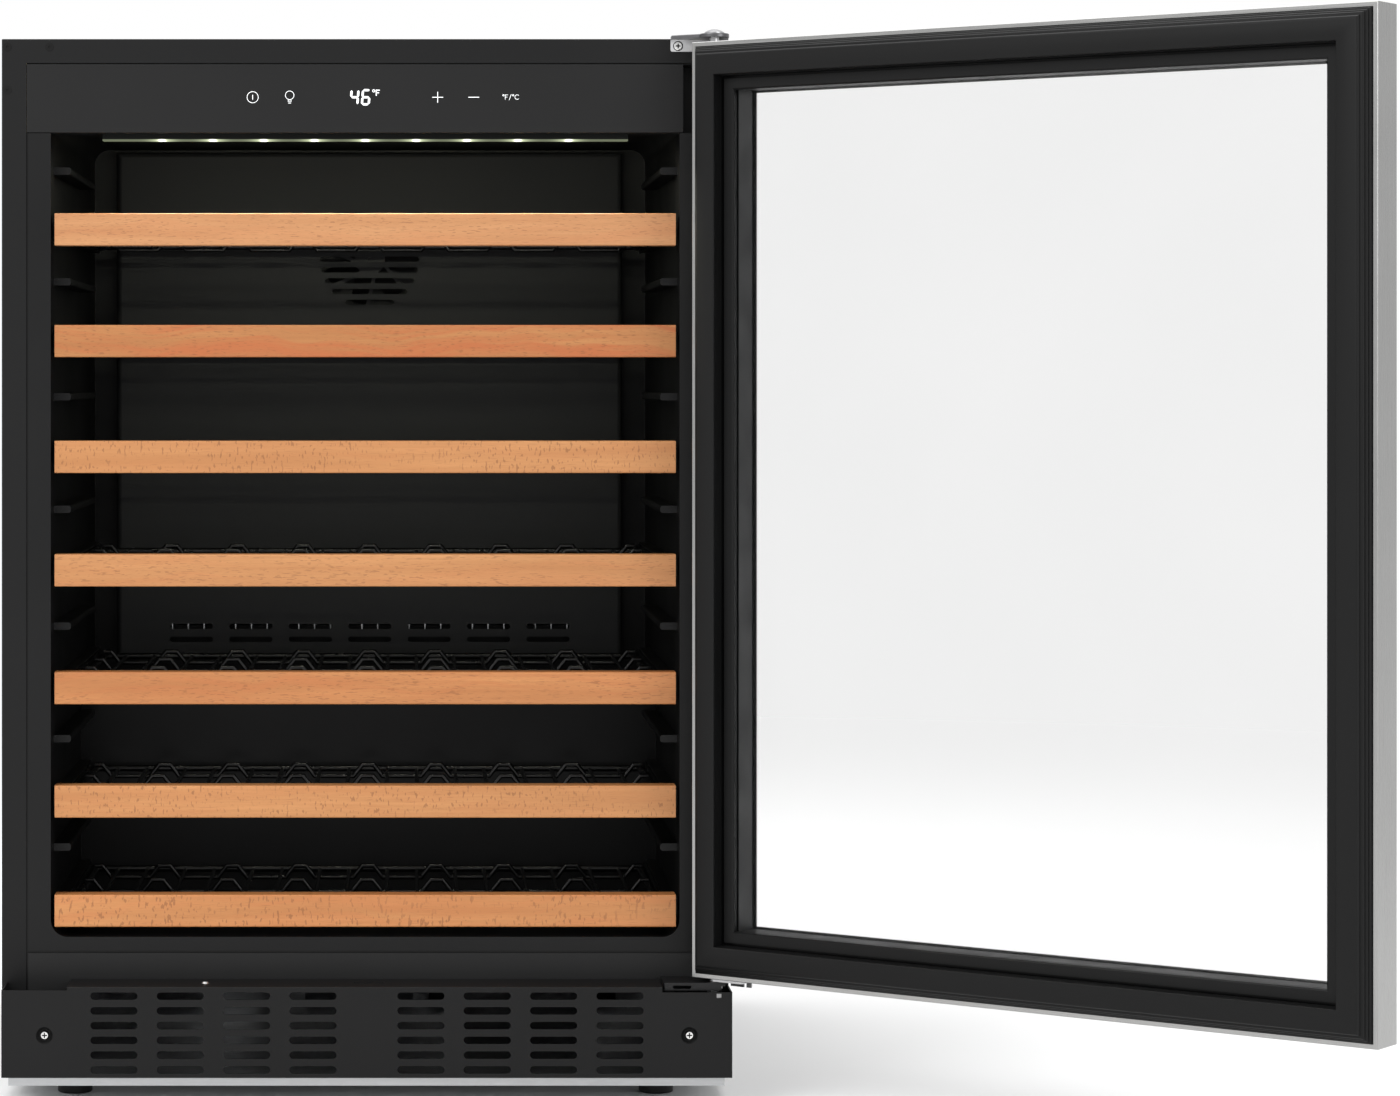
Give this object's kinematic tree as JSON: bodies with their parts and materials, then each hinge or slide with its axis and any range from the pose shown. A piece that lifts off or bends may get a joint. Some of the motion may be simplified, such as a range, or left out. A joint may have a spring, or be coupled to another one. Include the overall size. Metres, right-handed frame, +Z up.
{
  "type": "wine cooler",
  "caption": "Undercounter wine cooler with a glass door, sliding wood-fronted wire shelves, touch controls, light strip and vented kick plate.",
  "frame": {"origin": "on the floor, at the middle of the cabinet's width and depth", "axes": "+X to the right seen from the front, +Y towards the back, +Z up; the door opens towards -Y on right-hand hinges"},
  "size_m": [1.0597, 0.9445, 0.8727],
  "materials": {
    "black_steel": "matte",
    "galvanised": "satin",
    "liner_black": "satin",
    "foam": "matte",
    "fascia_black": "satin",
    "circuit_board": "satin",
    "led_board": "satin",
    "led_cover": "gloss",
    "beech": "satin",
    "black_wire": "satin",
    "channel_black": "satin",
    "cover_grey": "matte",
    "coil_aluminium": "satin",
    "fan_plastic": "satin",
    "compressor_black": "gloss",
    "mount_rubber": "matte",
    "tray_plastic": "satin",
    "copper": "satin",
    "inlet_plastic": "matte",
    "stainless": "satin",
    "door_plastic": "satin",
    "gasket_rubber": "matte",
    "clear_glass": "gloss",
    "spacer_grey": "satin",
    "hinge_zinc": "satin",
    "hinge_black": "satin",
    "plug_black": "satin",
    "screw_steel": "satin",
    "nylon": "satin",
    "foot_plastic": "matte"
  },
  "bodies": {
    "cabinet": {"outer_wrapper": "black_steel", "rear_panel": "galvanised", "machine_cover": "galvanised", "liner": "liner_black", "foam_insulation": "foam", "front_crossbar": "black_steel", "machine_deck": "galvanised", "base_pan": "galvanised", "kick_plate": "black_steel", "kick_plate_screws": "screw_steel", "control_fascia": "fascia_black", "control_board": "circuit_board", "led_board": "led_board", "led_cover": "led_cover", "shelf_channels": "channel_black", "top_hinge_bracket": "hinge_zinc", "bottom_hinge_bracket": "hinge_black", "hinge_pins": "hinge_zinc", "hinge_screws": "screw_steel", "hinge_hole_plugs": "plug_black", "evaporator_cover": "cover_grey", "evaporator_coil": "coil_aluminium", "evaporator_fan_motor": "fan_plastic", "compressor": "compressor_black", "compressor_mounts": "mount_rubber", "condenser_coil": "coil_aluminium", "condenser_fan_motor": "fan_plastic", "drain_pan": "tray_plastic", "refrigerant_lines": "copper", "power_inlet": "inlet_plastic"},
    "door": {"door_skin": "stainless", "door_inner_frame": "door_plastic", "door_gasket": "gasket_rubber", "outer_glass": "clear_glass", "inner_glass": "clear_glass", "glass_spacer": "spacer_grey", "handle_bar": "stainless", "handle_posts": "stainless", "door_stop_plate": "hinge_zinc", "hinge_bushes": "nylon"},
    "evaporator_fan": {"evaporator_fan_blade": "fan_plastic"},
    "condenser_fan": {"condenser_fan_blade": "fan_plastic"},
    "shelf_1": {"shelf_front_1": "beech", "shelf_rack_1": "black_wire"},
    "shelf_2": {"shelf_front_2": "beech", "shelf_rack_2": "black_wire"},
    "shelf_3": {"shelf_front_3": "beech", "shelf_rack_3": "black_wire"},
    "shelf_4": {"shelf_front_4": "beech", "shelf_rack_4": "black_wire"},
    "shelf_5": {"shelf_front_5": "beech", "shelf_rack_5": "black_wire"},
    "shelf_6": {"shelf_front_6": "beech", "shelf_rack_6": "black_wire"},
    "shelf_7": {"shelf_front_7": "beech", "shelf_rack_7": "black_wire"},
    "foot_front_left": {"foot_front_left": "foot_plastic"},
    "foot_rear_left": {"foot_rear_left": "foot_plastic"},
    "foot_front_right": {"foot_front_right": "foot_plastic"},
    "foot_rear_right": {"foot_rear_right": "foot_plastic"}
  },
  "joints": [
    {"name": "door_hinge", "type": "hinge", "parent": "cabinet", "child": "door", "pos_m": [0.2839, -0.2965, 0.48], "axis": [0, 0, 1], "range_deg": [-142.5, 2.5]},
    {"name": "shelf_1_slide", "type": "slide", "parent": "cabinet", "child": "shelf_1", "axis": [0, -1, 0], "range_m": [0, 0.28]},
    {"name": "shelf_2_slide", "type": "slide", "parent": "cabinet", "child": "shelf_2", "axis": [0, -1, 0], "range_m": [0, 0.28]},
    {"name": "shelf_3_slide", "type": "slide", "parent": "cabinet", "child": "shelf_3", "axis": [0, -1, 0], "range_m": [0, 0.28]},
    {"name": "shelf_4_slide", "type": "slide", "parent": "cabinet", "child": "shelf_4", "axis": [0, -1, 0], "range_m": [0, 0.28]},
    {"name": "shelf_5_slide", "type": "slide", "parent": "cabinet", "child": "shelf_5", "axis": [0, -1, 0], "range_m": [0, 0.28]},
    {"name": "shelf_6_slide", "type": "slide", "parent": "cabinet", "child": "shelf_6", "axis": [0, -1, 0], "range_m": [0, 0.2]},
    {"name": "shelf_7_slide", "type": "slide", "parent": "cabinet", "child": "shelf_7", "axis": [0, -1, 0], "range_m": [0, 0.2]},
    {"name": "foot_front_left_screw", "type": "slide", "parent": "cabinet", "child": "foot_front_left", "axis": [0, 0, 1], "range_m": [-0.012, 0]},
    {"name": "foot_rear_left_screw", "type": "slide", "parent": "cabinet", "child": "foot_rear_left", "axis": [0, 0, 1], "range_m": [-0.012, 0]},
    {"name": "foot_front_right_screw", "type": "slide", "parent": "cabinet", "child": "foot_front_right", "axis": [0, 0, 1], "range_m": [-0.012, 0]},
    {"name": "foot_rear_right_screw", "type": "slide", "parent": "cabinet", "child": "foot_rear_right", "axis": [0, 0, 1], "range_m": [-0.012, 0]},
    {"name": "evaporator_fan_spin", "type": "hinge", "parent": "cabinet", "child": "evaporator_fan", "pos_m": [0, 0.1815, 0.7], "axis": [0, 1, 0], "continuous": true},
    {"name": "condenser_fan_spin", "type": "hinge", "parent": "cabinet", "child": "condenser_fan", "pos_m": [-0.095, 0.165, 0.118], "axis": [1, 0, 0], "continuous": true}
  ]
}
